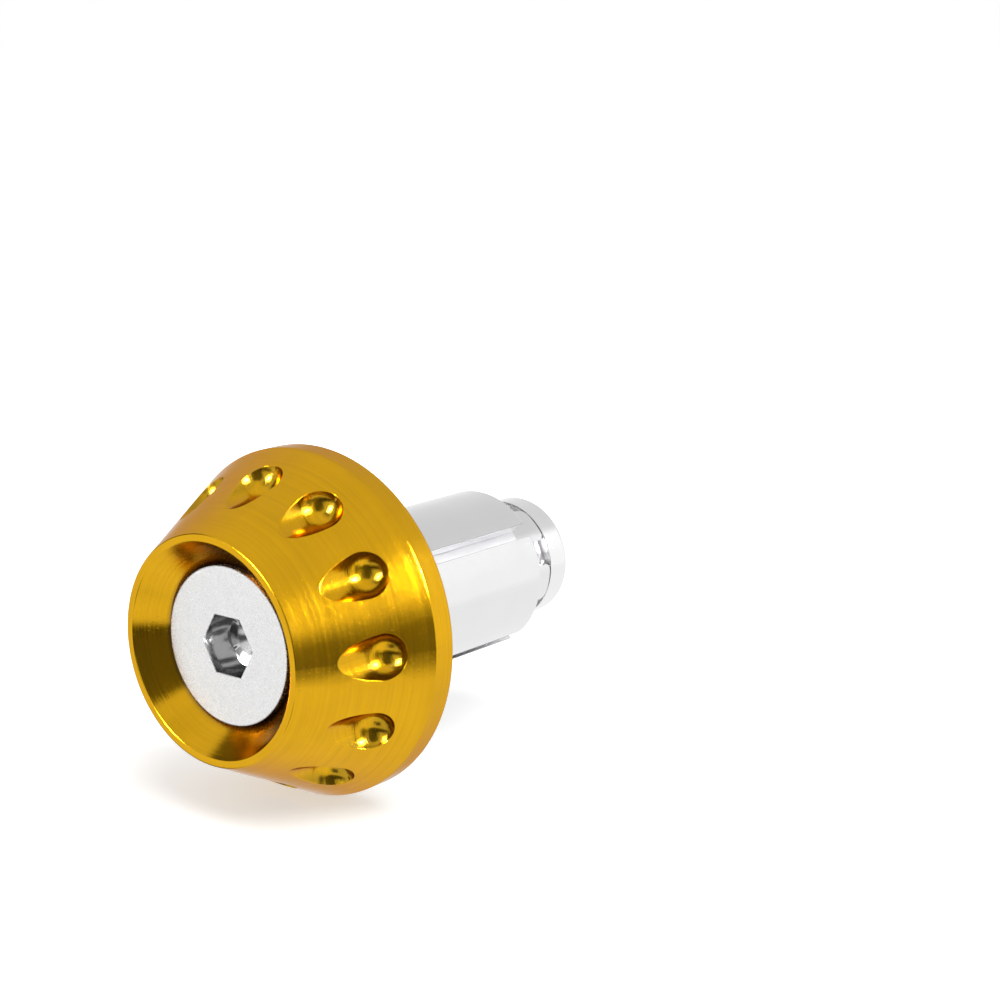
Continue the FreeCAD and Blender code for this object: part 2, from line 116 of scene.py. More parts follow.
# Cards that only reflections see: bearing and size in degrees, brightness, which for the soft boxes is
# a share of the stage's own, and the share of the card over which it fades at its edge
CardPlan = namedtuple("CardPlan", "name azimuth elevation wide high strength soft")
SOFT_BOXES = (
    CardPlan("softbox_right", 106.0, 29.0, 31.0, 28.0, 1.0, 0.4),
    CardPlan("softbox_front", -14.5, 23.0, 22.0, 26.0, 1.0, 0.4),
)
PLAIN_CARDS = (
    CardPlan("flag_camera", 44.0, 9.0, 52.0, 70.0, 0.12, 0.2),
    CardPlan("flag_low", 26.0, -12.0, 110.0, 22.0, 0.08, 0.5),
    CardPlan("flag_left", -76.0, 24.0, 46.0, 50.0, 0.12, 0.3),
    CardPlan("flag_top", -11.0, 46.0, 32.0, 16.0, 0.12, 0.3),
    CardPlan("flag_under", 21.0, -43.0, 26.0, 24.0, 0.12, 0.3),
    CardPlan("wall_right", 138.0, 9.0, 52.0, 50.0, 1.08, 0.3),
    CardPlan("shade_right", 86.0, -6.0, 34.0, 46.0, 0.18, 0.6),
    CardPlan("shade_under", -74.0, -40.0, 46.0, 34.0, 0.1, 0.3),
)
WHITE = (1.0, 1.0, 1.0)
COOL_WHITE = (1.0, 0.97, 1.02)

# The photograph's view of the front unit: where the camera stands and where it looks
CAMERA_PLACE = (0.14853, -0.15698, 0.06172)
CAMERA_LOOK = (-0.6079, 0.7619, -0.2237)


def colour(name, description, default):
    """A colour that the sidebar shows."""
    return FloatVectorProperty(name=name, description=description, default=default, size=3, min=0.0,
                               max=1.0, subtype="COLOR")


def length(name, description, default):
    """A length in metres that the sidebar shows."""
    return FloatProperty(name=name, description=description, default=default, min=0.0, unit="LENGTH",
                         precision=5)


def share(name, description, default):
    """A number from 0 to 1 that the sidebar shows."""
    return FloatProperty(name=name, description=description, default=default, min=0.0, max=1.0,
                         subtype="FACTOR")


class BarEndFinishes(PropertyGroup):
    """Colours and surfaces of the pieces."""

    gold: colour("Gold", "Dyed oxide layer on the head", (0.72, 0.385, 0.002))
    gold_edge: colour("Gold at the rim", "Tint of the head's reflection at a grazing angle",
                      (0.62, 0.42, 0.22))
    # Painted shade: a darker gold laid on the steep walls of the dimples
    dimple_wall_shade: colour("Dimple wall", "Dyed oxide layer on the steep walls of the dimples",
                      (0.46, 0.265, 0.006))
    # Painted shade: a dark colour laid in the gap round the screw's head
    seat_shade: colour("Screw seat", "Oily groove round the screw's head", (0.16, 0.09, 0.03))
    turned_roughness: share("Turned roughness", "Roughness of the head's turned surfaces", 0.14)
    scooped_roughness: share("Scooped roughness", "Roughness inside the dimples", 0.16)
    seal_share: share("Seal share", "Share of the clear sealed layer over the dye", 0.25)
    seal_ior: FloatProperty(name="Seal IOR", description="Index of the clear sealed layer", default=1.5,
                            min=1.0, max=3.0)
    mark_depth: length("Mark depth", "Depth of the turning marks on the head", 0.000018)
    mark_pitch: length("Mark pitch", "Spacing of the turning marks on the head", 0.0002)
    broken_edge: length("Broken edge", "Radius to which the head's sharp edges are dulled", 0.00006)
    ring_pitch: length("Ring pitch", "Spacing of the ball cutter's rings in the dimples", 0.00014)
    washer: colour("Washer", "White plastic of the washer", (0.84, 0.85, 0.86))
    sleeve: colour("Sleeve", "Bright turned aluminium of sleeve and collet", (0.82, 0.82, 0.825))
    nut: colour("Nut", "Bright plated steel of the nut", (0.88, 0.88, 0.88))
    screw: colour("Screw", "Satin stainless steel of the screw", (0.8, 0.8, 0.798))


class BarEndThread(PropertyGroup):
    """Sizes of the metric thread on the screw and in the nut."""

    pitch: length("Pitch", "Travel of one turn", 0.00125)
    screw_crest: length("Screw crest", "Radius over the screw's thread", 0.00399)
    screw_root: length("Screw root", "Radius at the bottom of the screw's thread", 0.0034)
    nut_root: length("Nut root", "Radius at the bottom of the nut's thread", 0.00403)
    nut_crest: length("Nut crest", "Radius inside the nut's thread", 0.00342)
    sides: IntProperty(name="Sides", description="Flats round one turn", default=72, min=12, max=180)


class BarEndStage(PropertyGroup):
    """Floor, lights and camera."""

    floor: colour("Floor", "Pale floor", (0.8, 0.8, 0.8))
    floor_glow: share("Floor glow", "White that the floor adds for the camera alone, near the part", 0.5)
    sky: FloatProperty(name="Sky", description="Strength of the even light from all round", default=0.55,
                       min=0.0)
    lamp: FloatProperty(name="Lamp", description="Power of the large soft lamp", default=3.0, min=0.0,
                        unit="POWER")
    softbox: FloatProperty(name="Soft boxes", description="Brightness of the soft boxes in reflections",
                           default=23.0, min=0.0)
    hot: FloatProperty(name="Hot centre", default=10.0, min=1.0,
                       description="How many times brighter the soft boxes are in their middle")
    lens: FloatProperty(name="Lens", description="Focal length on a 36 mm sensor", default=77.8, min=1.0,
                        unit="CAMERA")


class Number:
    """A number that a node tree works out; arithmetic with it adds Math nodes."""

    def __init__(self, socket):
        self.socket = socket
        self.tree = socket.id_data

    def __add__(self, other):
        return calc("ADD", self, other)

    def __sub__(self, other):
        return calc("SUBTRACT", self, other)

    def __rsub__(self, other):
        return calc("SUBTRACT", other, self)

    def __mul__(self, other):
        return calc("MULTIPLY", self, other)

    def __truediv__(self, other):
        return calc("DIVIDE", self, other)

    def __abs__(self):
        return calc("ABSOLUTE", self)


def feed(value, socket):
    """Link a Number or an output to a socket, or set the socket's own value."""
    if isinstance(value, Number):
        value = value.socket
    if isinstance(value, bpy.types.NodeSocket):
        socket.id_data.links.new(value, socket)
    else:
        socket.default_value = value


def set_inputs(node, inputs):
    """Feed several inputs of a node."""
    for name, value in inputs.items():
        feed(value, node.inputs[name])


def add_node(tree, kind, inputs=None, **settings):
    """A node with its inputs and settings."""
    made = tree.nodes.new(kind)
    for name, value in settings.items():
        setattr(made, name, value)
    set_inputs(made, inputs or {})
    return made


def calc(operation, *values, clamp=False):
    """Number from a Math node; at least one of the values is a Number already."""
    tree = next(value.tree for value in values if isinstance(value, Number))
    made = add_node(tree, "ShaderNodeMath", operation=operation, use_clamp=clamp)
    for value, socket in zip(values, made.inputs):
        feed(value, socket)
    return Number(made.outputs[0])


def between(value, low, high, to_low=0.0, to_high=1.0):
    """A Number mapped from one range to another and held inside it."""
    made = add_node(value.tree, "ShaderNodeMapRange", {"Value": value, "From Min": low, "From Max": high,
                                                       "To Min": to_low, "To Max": to_high})
    return Number(made.outputs["Result"])


def blend_numbers(tree, factor, first, second):
    """Number between two numbers."""
    made = add_node(tree, "ShaderNodeMix", {0: factor, 2: first, 3: second}, data_type="FLOAT")
    return Number(made.outputs[0])


def blend_colours(tree, factor, first, second):
    """Colour between two colours."""
    made = add_node(tree, "ShaderNodeMix", data_type="RGBA")
    set_inputs(made, {0: factor, 6: first, 7: second})
    return made.outputs[2]


def shaded(tint, times=1.0):
    """A tint made that many times as bright, as the colour sockets take it."""
    return tuple(min(1.0, part * times) for part in tint) + (1.0,)


def object_place(tree):
    """Where a point lies in the object's own coordinates."""
    return add_node(tree, "ShaderNodeTexCoord").outputs["Object"]


def split(tree, vector):
    """The three Numbers of a vector."""
    return [Number(output) for output in add_node(tree, "ShaderNodeSeparateXYZ", {0: vector}).outputs]


def joined(tree, **numbers):
    """Vector of the numbers given for X, Y and Z."""
    return add_node(tree, "ShaderNodeCombineXYZ", numbers).outputs[0]


def from_axis(tree):
    """Where a point lies across, along and above the axis, and how far from it."""
    x, y, z = split(tree, object_place(tree))
    return x, y, z, calc("SQRT", x * x + z * z)


def noise(tree, spot, scale, detail, roughness=0.5):
    """Noise at that spot."""
    made = add_node(tree, "ShaderNodeTexNoise", {"Vector": spot, "Scale": scale, "Detail": detail,
                                                 "Roughness": roughness})
    return Number(made.outputs["Fac"])


def wear_noise(tree, scale, detail=4.0):
    """Noise on object coordinates."""
    return noise(tree, object_place(tree), scale, detail)


def lathe_group():
    """Shader group for the marks that turning leaves on faces, cones and cylinders."""
    name = "lathe_marks"
    if name in bpy.data.node_groups:
        return bpy.data.node_groups[name]
    tree = bpy.data.node_groups.new(name, "ShaderNodeTree")
    for word in ("Pitch", "Sweep"):
        tree.interface.new_socket(word, in_out="INPUT", socket_type="NodeSocketFloat")
    tree.interface.new_socket("Marks", in_out="OUTPUT", socket_type="NodeSocketFloat")
    given = add_node(tree, "NodeGroupInput").outputs
    pitch, sweep = Number(given["Pitch"]), Number(given["Sweep"])
    x, y, z, radius = from_axis(tree)
    off_axis = calc("MAXIMUM", radius, 0.01 * MM)
    # This lean keeps the marks apart on faces, cones and cylinders alike
    lean = 0.6
    row = (y - radius * lean) / pitch
    spot = joined(tree, X=x / off_axis * sweep, Y=row, Z=z / off_axis * sweep)
    marks = noise(tree, spot, scale=1.0, detail=3.0, roughness=0.6)
    add_node(tree, "NodeGroupOutput", {"Marks": marks})
    return tree


def lathe(tree, pitch, sweep):
    """Turning marks of that pitch; a larger sweep makes them change more on their way round."""
    made = add_node(tree, "ShaderNodeGroup", node_tree=lathe_group())
    set_inputs(made, {"Pitch": pitch, "Sweep": sweep})
    return Number(made.outputs["Marks"])


def new_finish(name):
    """A material, its node tree and its shader."""
    material = bpy.data.materials.new(name)
    material.use_nodes = True
    tree = material.node_tree
    return material, tree, tree.nodes["Principled BSDF"]


def turned_metal(shader, stretch):
    """Make the shader a metal whose highlights are stretched as turning stretches them."""
    around = add_node(shader.id_data, "ShaderNodeTangent", direction_type="RADIAL", axis="Y")
    set_inputs(shader, {
        "Metallic": 1.0,
        "Anisotropic": stretch,
        "Anisotropic Rotation": 0.25,
        "Tangent": around.outputs[0],
    })


def bumped(shader, height, distance, strength=1.0):
    """Give the shader a bump of that height."""
    bump = add_node(shader.id_data, "ShaderNodeBump", {"Height": height, "Distance": distance,
                                                       "Strength": strength})
    feed(bump.outputs["Normal"], shader.inputs["Normal"])


def rounded_normal(tree, radius):
    """The way the surface would face with its edges rounded to that radius."""
    return add_node(tree, "ShaderNodeBevel", {"Radius": radius}, samples=4).outputs["Normal"]


def edge_mask(tree, radius):
    """1 along edges and corners, fading out over the radius."""
    plain = add_node(tree, "ShaderNodeNewGeometry").outputs["Normal"]
    likeness = add_node(tree, "ShaderNodeVectorMath", {0: rounded_normal(tree, radius), 1: plain},
                        operation="DOT_PRODUCT")
    return between(Number(likeness.outputs["Value"]), 0.75, 0.98, 1.0, 0.0)


def scooped_mask(radius, past_nose):
    """1 in the dimples, which lie under the head's cone and outside its dish, and 0 elsewhere."""
    sunk = past_nose * CONE_SLOPE + CONE_START - radius
    outside_dish = calc("LESS_THAN", sunk, DIMPLE_DEPTH)
    on_cone = calc("GREATER_THAN", past_nose, DIMPLE_START) * calc("LESS_THAN", past_nose, CONE_LENGTH)
    return between(sunk, 0.04 * MM, 0.12 * MM) * (outside_dish * on_cone)


def from_cutter(x, along, z, radius):
    """A point's place aside, outwards and past its dimple's ball centre, and that dimple's turn."""
    part = 2 * math.pi / DIMPLES
    turn = calc("ARCTAN2", z, x) - math.radians(DIMPLE_TURN)
    step = calc("ROUND", turn / part) * part
    swing = turn - step
    aside = abs(radius * calc("SINE", swing))
    past = along - BALL_ALONG
    out = radius * calc("COSINE", swing) - (past * CUTTER_LEAN + BALL_OUT)
    return aside, out, past, step


def cutter_rings(aside, out, past, step, pitch):
    """Rings that the ball cutter leaves round its own axis in each dimple's deep end."""
    from_centre = calc("SQRT", aside * aside + out * out)
    reach = calc("ARCTAN2", from_centre, past) * BALL_RADIUS
    spot = joined(past.tree, X=reach / pitch, Y=step)
    rings = noise(past.tree, spot, scale=1.0, detail=2.0, roughness=0.6)
    return rings * between(past, -0.8 * MM, -0.1 * MM)


def gold_finish(looks):
    """Turned aluminium, dyed gold and sealed."""
    material, tree, shader = new_finish("gold_anodise")
    marks = lathe(tree, looks.mark_pitch, sweep=0.5)
    x, along, z, radius = from_axis(tree)
    past_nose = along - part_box("weight_head")[0].y
    scooped = scooped_mask(radius, past_nose)
    aside, out, past, step = from_cutter(x, along, z, radius)

    # The dye drifts a little at random; painted shade darkens the steep walls of the dimples
    tone = between(wear_noise(tree, scale=160.0) + marks, 0.7, 1.3)
    dyed = blend_colours(tree, tone, shaded(looks.gold, 0.93), shaded(looks.gold, 1.07))
    steep = between(calc("MAXIMUM", aside, past), 1.5 * MM, 2.2 * MM)
    wall_shade = between(scooped, 0.5, 1.0) * steep
    wall_shaded = blend_colours(tree, wall_shade, dyed, shaded(looks.dimple_wall_shade))
    # Painted shade in the gap between the screw's head and the dish
    in_dish = calc("LESS_THAN", past_nose, SEAT_REACH)
    seat_shade = between(radius, SEAT_RADIUS, SEAT_FADED, 1.0, 0.0) * in_dish

    smoothness = between(scooped, 0.0, 1.0, looks.turned_roughness, looks.scooped_roughness)
    streak = between(marks, 0.35, 0.65, 0.8, 1.3)
    turned_metal(shader, stretch=0.3)
    set_inputs(shader, {
        "Base Color": blend_colours(tree, seat_shade, wall_shaded, shaded(looks.seat_shade)),
        "Roughness": smoothness * streak,
        "Specular Tint": shaded(looks.gold_edge),
        "Coat Weight": looks.seal_share,
        "Coat Roughness": 0.05,
        "Coat IOR": looks.seal_ior,
    })

    # Turning marks on the cone, the cutter's rings in the dimples, and a few pits all over; the metal
    # under the clear seal is the smoother of the two
    rings = cutter_rings(aside, out, past, step, looks.ring_pitch) * 2.0
    pits = between(wear_noise(tree, scale=3600.0, detail=1.0), 0.66, 0.72, 0.0, 0.4)
    height = blend_numbers(tree, scooped, marks, rings) - pits
    rounded = rounded_normal(tree, looks.broken_edge)
    for socket, times in (("Normal", 0.45), ("Coat Normal", 1.0)):
        bump = add_node(tree, "ShaderNodeBump", {"Height": height, "Distance": looks.mark_depth * times,
                                                 "Normal": rounded})
        feed(bump.outputs["Normal"], shader.inputs[socket])
    return material


def washer_finish(looks):
    """White plastic with a faint satin grain."""
    material, tree, shader = new_finish("washer_plastic")
    grain = wear_noise(tree, scale=2600.0, detail=2.0)
    cloud = wear_noise(tree, scale=90.0)
    set_inputs(shader, {
        "Base Color": blend_colours(tree, cloud, shaded(looks.washer, 0.96), shaded(looks.washer)),
        "Roughness": between(grain, 0.3, 0.7, 0.3, 0.42),
    })
    bumped(shader, grain, distance=0.006 * MM, strength=0.5)
    return material


def bright_paint(tree, tint, sunk=0.0):
    """Colour of bright metal: faintly clouded, painted shade where sunk, painted dark reflection at edges.
    """
    cloud = wear_noise(tree, scale=240.0)
    clouded = blend_colours(tree, cloud, shaded(tint, 0.95), shaded(tint))
    # Painted shade where the metal is sunk, in the slots and inside the sleeve
    sunk_shaded = blend_colours(tree, sunk, clouded, shaded(tint, 0.84))
    # Painted dark reflection along the edges
    return blend_colours(tree, edge_mask(tree, 0.2 * MM), sunk_shaded, shaded(tint, 0.55))


def bright_finish(name, tint, roughness, pitch, depth, outer, end):
    """Bright turned metal, rougher and with painted shade inside the outer radius and before the end."""
    material, tree, shader = new_finish(name)
    marks = lathe(tree, pitch, sweep=1.2)
    _, along, _, radius = from_axis(tree)
    # Inside the outer radius and before the end lie the slots and the collet: painted shade there
    inside = between(radius, outer - 0.3 * MM, outer - 0.12 * MM, 1.0, 0.0)
    before = between(along, end - 0.5 * MM, end - 0.3 * MM, 1.0, 0.0)
    sunk = inside * before
    turned_metal(shader, stretch=0.5)
    set_inputs(shader, {
        "Base Color": bright_paint(tree, tint, sunk),
        "Roughness": between(marks, 0.3, 0.7, roughness * 0.7, roughness * 1.3) + sunk * 0.2,
    })
    bumped(shader, marks, depth)
    return material


def screw_finish(looks):
    """Satin stainless steel, finely speckled on the face and shinier in the socket."""
    material, tree, shader = new_finish("stainless_steel")
    _, along, _, radius = from_axis(tree)
    under_face = calc("GREATER_THAN", along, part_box("flat_screw")[0].y + 0.15 * MM)
    socket = under_face * calc("LESS_THAN", radius, SOCKET_RADIUS)
    specks = between(wear_noise(tree, scale=1900.0, detail=5.0), 0.5, 0.66)
    speckled = blend_colours(tree, specks, bright_paint(tree, looks.screw), shaded(looks.screw, 0.94))
    # Painted dark reflection round the rim of the head
    rim = between(radius, 7.96 * MM, 8.08 * MM)
    painted_rim = blend_colours(tree, rim, speckled, shaded(looks.screw, 0.6))
    grain = wear_noise(tree, scale=5200.0, detail=3.0)
    satin = between(grain, 0.3, 0.7, 0.2, 0.32)
    # Painted shade darkens the socket, which is also shinier
    set_inputs(shader, {
        "Base Color": blend_colours(tree, socket, painted_rim, shaded(looks.screw, 0.7)),
        "Roughness": blend_numbers(tree, socket, satin, 0.12),
        "Metallic": 1.0,
    })
    bumped(shader, grain, distance=0.004 * MM, strength=0.45)
    return material


def dress(node, material):
    """Give a CAD node its finish."""
    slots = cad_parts[node].data.materials
    slots.clear()
    slots.append(material)


def helix_tree():
    """Geometry tree of a threaded barrel about the Y axis, closed at both ends."""
    name = "threaded_barrel"
    if name in bpy.data.node_groups:
        return bpy.data.node_groups[name]
    tree = bpy.data.node_groups.new(name, "GeometryNodeTree")
    lengths = ("Root", "Depth", "Back", "Start", "End", "Pitch", "Foot Width", "Phase")
    counts = ("Sides", "Rows", "Closing Rows")
    tree.interface.new_socket("Geometry", in_out="INPUT", socket_type="NodeSocketGeometry")
    for word in lengths:
        tree.interface.new_socket(word, in_out="INPUT", socket_type="NodeSocketFloat")
    for word in counts:
        tree.interface.new_socket(word, in_out="INPUT", socket_type="NodeSocketInt")
    tree.interface.new_socket("Finish", in_out="INPUT", socket_type="NodeSocketMaterial")
    tree.interface.new_socket("Geometry", in_out="OUTPUT", socket_type="NodeSocketGeometry")
    given = add_node(tree, "NodeGroupInput").outputs
    root, depth, back, start, end, pitch, foot_width, phase = (Number(given[word]) for word in lengths)
    sides, rows, closing_rows = (Number(given[word]) for word in counts)

    # The grid has one row more than needed at the start and one or two at the end, which close the barrel
    columns = sides + 1
    grid = add_node(tree, "GeometryNodeMeshGrid", {"Size X": 1.0, "Size Y": 1.0,
                                                   "Vertices X": rows + (closing_rows + 1),
                                                   "Vertices Y": columns}).outputs["Mesh"]
    number = Number(add_node(tree, "GeometryNodeInputIndex").outputs[0])
    row = calc("FLOOR", number / columns)
    column = number - row * columns
    turn = column / sides

    # Each row follows the helix, so that crests and roots stay crisp
    climb = (row - 1.0) / ROWS_PER_TURN
    wanted = start + (climb - turn) * pitch
    along = calc("MINIMUM", calc("MAXIMUM", wanted, start), end)
    to_end = calc("MINIMUM", along - start, end - along)
    off_crest = abs(calc("FRACT", climb + phase) * 2.0 - 1.0)
    flank = calc("DIVIDE", foot_width - off_crest, FLANK_WIDTH, clamp=True)
    ridge = calc("MINIMUM", flank * abs(depth), to_end)
    threaded = root + ridge * calc("SIGN", depth)

    # First row and closing rows lie on the back radius
    first = calc("LESS_THAN", row, 0.5)
    closing = calc("GREATER_THAN", row, rows - 0.5)
    last = calc("GREATER_THAN", row, rows + 0.5)
    ends = calc("MAXIMUM", first, closing)
    free = 1.0 - ends
    at_start = calc("MAXIMUM", first, last)
    at_end = closing - last
    radius = threaded * free + back * ends
    height = along * free + (start * at_start + end * at_end)
    angle = turn * (2 * math.pi)
    spot = joined(tree, X=radius * calc("COSINE", angle), Y=height, Z=radius * calc("SINE", angle))
    shape = grid
    for kind, inputs in (
        ("GeometryNodeSetPosition", {"Position": spot}),
        ("GeometryNodeMergeByDistance", {"Distance": 0.002 * MM}),
        ("GeometryNodeRealizeInstances", {}),
        ("GeometryNodeSetMaterial", {"Material": given["Finish"]}),
    ):
        shape = add_node(tree, kind, {"Geometry": shape, **inputs}).outputs[0]
    add_node(tree, "NodeGroupOutput", {0: shape})
    return tree


def helix_rows(reach, pitch):
    """Grid rows of a thread of that reach, with one turn more for the helix."""
    return math.ceil(reach / pitch * ROWS_PER_TURN) + ROWS_PER_TURN + 1


def thread_origin():
    """Height where the screw's thread starts, in the middle of a groove on the +X side."""
    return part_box("flat_screw")[0].y + THREAD_START


def threaded_mesh(name, metal, sizes, values):
    """A plain mesh in that metal, made by the thread tree with these inputs and the thread's own sizes."""
    values = {
        **values,
        "Pitch": sizes.pitch,
        "Sides": sizes.sides,
        "Rows": helix_rows(values["End"] - values["Start"], sizes.pitch),
        "Finish": metal,
    }
    holder = add_object(name, bpy.data.meshes.new(name))
    modifier = holder.modifiers.new("thread", "NODES")
    modifier.node_group = helix_tree()
    for item in modifier.node_group.interface.items_tree:
        if item.in_out == "INPUT" and item.name in values:
            modifier[item.identifier] = values[item.name]
    bpy.context.view_layer.update()
    graph = bpy.context.evaluated_depsgraph_get()
    mesh = bpy.data.meshes.new_from_object(holder.evaluated_get(graph))
    bpy.data.objects.remove(holder)
    # The grid brings an empty slot of its own, which would come before the metal
    mesh.materials.clear()
    mesh.materials.append(metal)
    tidy_shell(mesh)
    return mesh


def tidy_shell(mesh):
    """Take out flat faces and loose edges, and turn the faces outwards."""
    least_area = 1e-14
    shell = bmesh.new()
    shell.from_mesh(mesh)
    flat = [face for face in shell.faces if face.calc_area() < least_area]
    bmesh.ops.delete(shell, geom=flat, context="FACES")
    bare = [edge for edge in shell.edges if not edge.link_faces]
    bmesh.ops.delete(shell, geom=bare, context="EDGES")
    loose = [vertex for vertex in shell.verts if not vertex.link_faces]
    bmesh.ops.delete(shell, geom=loose, context="VERTS")
    bmesh.ops.recalc_face_normals(shell, faces=shell.faces[:])
    shell.to_mesh(mesh)
    shell.free()


def smoothed(mesh, limit):
    """Shade smooth, with edges over the limit left sharp."""
    mesh.shade_smooth()
    mesh.set_sharp_from_angle(angle=math.radians(limit))


def add_object(name, data):
    """A new object in the scene."""
    made = bpy.data.objects.new(name, data)
    bpy.context.scene.collection.objects.link(made)
    return made


def put_in_scene(name, mesh, body):
    """A finished piece that rides on a body."""
    mesh.name = name
    piece = add_object(name, mesh)
    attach(piece, body)
    return piece


class BAREND_OT_head(Operator):
    """Give the dished head its gold anodised finish"""

    bl_idname = "barend.head"
    bl_label = "Head"

    def execute(self, context):
        dress("weight_head", gold_finish(context.scene.bar_end_finishes))
        return {"FINISHED"}


class BAREND_OT_washer(Operator):
    """Give the washer its white plastic"""

    bl_idname = "barend.washer"
    bl_label = "Washer"

    def execute(self, context):
        dress("seat_washer", washer_finish(context.scene.bar_end_finishes))
        return {"FINISHED"}


class BAREND_OT_expander(Operator):
    """Give the split sleeve and the fingers inside it their bright turned metal"""

    bl_idname = "barend.expander"
    bl_label = "Sleeve and collet"

    def execute(self, context):
        looks = context.scene.bar_end_finishes
        outer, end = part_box("split_sleeve")[1].x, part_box("split_sleeve")[1].y
        metal = bright_finish("bright_aluminium", looks.sleeve, roughness=0.11, pitch=0.2 * MM,
                              depth=0.002 * MM, outer=outer, end=end)
        dress("split_sleeve", metal)
        dress("finger_collet", metal)
        return {"FINISHED"}


class BAREND_OT_nut(Operator):
    """Give the nut its plated finish and its thread"""

    bl_idname = "barend.nut"
    bl_label = "Nut"

    def execute(self, context):
        sizes = context.scene.bar_end_thread
        low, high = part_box("wedge_nut")
        metal = bright_finish("plated_steel", context.scene.bar_end_finishes.nut, roughness=0.14,
                              pitch=0.25 * MM, depth=0.003 * MM, outer=high.x, end=high.y)
        dress("wedge_nut", metal)

        # The thread ends at the mouth's chamfer, and its ridge lies between two turns of the screw's
        start = low.y
        turns_to_screw = (thread_origin() - start) / sizes.pitch
        mesh = threaded_mesh("nut_thread", metal, sizes, {
            "Root": sizes.nut_root,
            "Depth": sizes.nut_crest - sizes.nut_root,
            "Back": sizes.nut_root + 0.04 * MM,
            "Start": start,
            "End": high.y - 0.4 * MM,
            "Foot Width": 0.84,
            "Phase": -(turns_to_screw + 0.5) % 1.0,
            "Closing Rows": 2,
        })
        smoothed(mesh, 25.0)
        put_in_scene("nut_thread", mesh, "nut")
        return {"FINISHED"}


class BAREND_OT_screw(Operator):
    """Stand a threaded screw in for the plain one, with the same head and socket"""

    bl_idname = "barend.screw"
    bl_label = "Screw"

    def execute(self, context):
        sizes = context.scene.bar_end_thread
        start, end = thread_origin(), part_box("flat_screw")[1].y
        mesh = threaded_mesh("screw_thread", screw_finish(context.scene.bar_end_finishes), sizes, {
            "Root": sizes.screw_root,
            "Depth": sizes.screw_crest - sizes.screw_root,
            "Back": 0.0,
            "Start": start,
            "End": end,
            "Foot Width": 0.75,
            "Phase": 0.0,
            "Closing Rows": 1,
        })

        # The head is the CAD screw, cut off just past the thread's start and closed
        shell = bmesh.new()
        shell.from_mesh(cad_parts["flat_screw"].data)
        bmesh.ops.remove_doubles(shell, verts=shell.verts[:], dist=0.0005 * MM)
        bmesh.ops.bisect_plane(shell, geom=shell.verts[:] + shell.edges[:] + shell.faces[:],
                               plane_co=(0, start + 0.5 * MM, 0), plane_no=(0, 1, 0), clear_outer=True)
        bmesh.ops.contextual_create(shell, geom=[edge for edge in shell.edges if edge.is_boundary])
        shell.from_mesh(mesh)
        shell.to_mesh(mesh)
        shell.free()
        smoothed(mesh, 28.0)
        piece = put_in_scene("threaded_screw", mesh, "screw")
        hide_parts("flat_screw")
        return {"FINISHED"}


def blank_tree(owner):
    """The emptied node tree of a material or a world."""
    owner.use_nodes = True
    owner.node_tree.nodes.clear()
    return owner.node_tree


def ray_fact(tree, word):
    """One of the facts that a shader knows of the ray that meets it."""
    return Number(add_node(tree, "ShaderNodeLightPath").outputs[word])


def before_bounce(tree):
    """1 for rays that have not left a matt surface yet, so that the floor's own light stays neutral."""
    return calc("LESS_THAN", ray_fact(tree, "Diffuse Depth"), 0.5)


def mirrored(tree):
    """1 for rays that come from a reflection or through clear stuff."""
    return calc("MAXIMUM", ray_fact(tree, "Is Glossy Ray"), ray_fact(tree, "Is Transmission Ray"))


def placed_at(azimuth, elevation):
    """Place out on a bearing, facing the part; azimuth 0 lies out of the nose, 90 along +X."""
    side, rise = math.radians(azimuth), math.radians(elevation)
    out = Vector((math.sin(side) * math.cos(rise), -math.cos(side) * math.cos(rise), math.sin(rise)))
    return Matrix.Translation(out * STUDIO_REACH) @ out.to_track_quat("Z", "Y").to_matrix().to_4x4()


def glossy_card(plan, power=1.0, tint=WHITE, hot=1.0):
    """Put up a card that only reflections see: bright as a soft box with a hot middle, or dark as a flag."""
    mesh = bpy.data.meshes.new(plan.name)
    mesh.from_pydata([(-1, -1, 0), (1, -1, 0), (1, 1, 0), (-1, 1, 0)], [], [(0, 1, 2, 3)])
    material = bpy.data.materials.new(plan.name)
    tree = blank_tree(material)
    x, y, _ = split(tree, object_place(tree))
    reach = calc("POWER", calc("POWER", x, 4.0) + calc("POWER", y, 4.0), 0.25)
    cover = between(reach, 1.0 - plan.soft, 1.0, 1.0, 0.0) * before_bounce(tree)
    strength = between(reach, 0.1, 0.45, hot, 1.0) * (plan.strength * power)
    clear = add_node(tree, "ShaderNodeBsdfTransparent")
    glow = add_node(tree, "ShaderNodeEmission", {"Color": (*tint, 1.0), "Strength": strength})
    both = add_node(tree, "ShaderNodeMixShader", {0: cover, 1: clear.outputs[0], 2: glow.outputs[0]})
    add_node(tree, "ShaderNodeOutputMaterial", {"Surface": both.outputs[0]})
    mesh.materials.append(material)
    card = add_object(plan.name, mesh)
    across, up = (math.tan(math.radians(angle / 2)) * STUDIO_REACH for angle in (plan.wide, plan.high))
    card.matrix_world = placed_at(plan.azimuth, plan.elevation) @ Matrix.Diagonal((across, up, 1.0, 1.0))
    for rays in ("camera", "diffuse", "shadow", "transmission", "volume_scatter"):
        setattr(card, f"visible_{rays}", False)


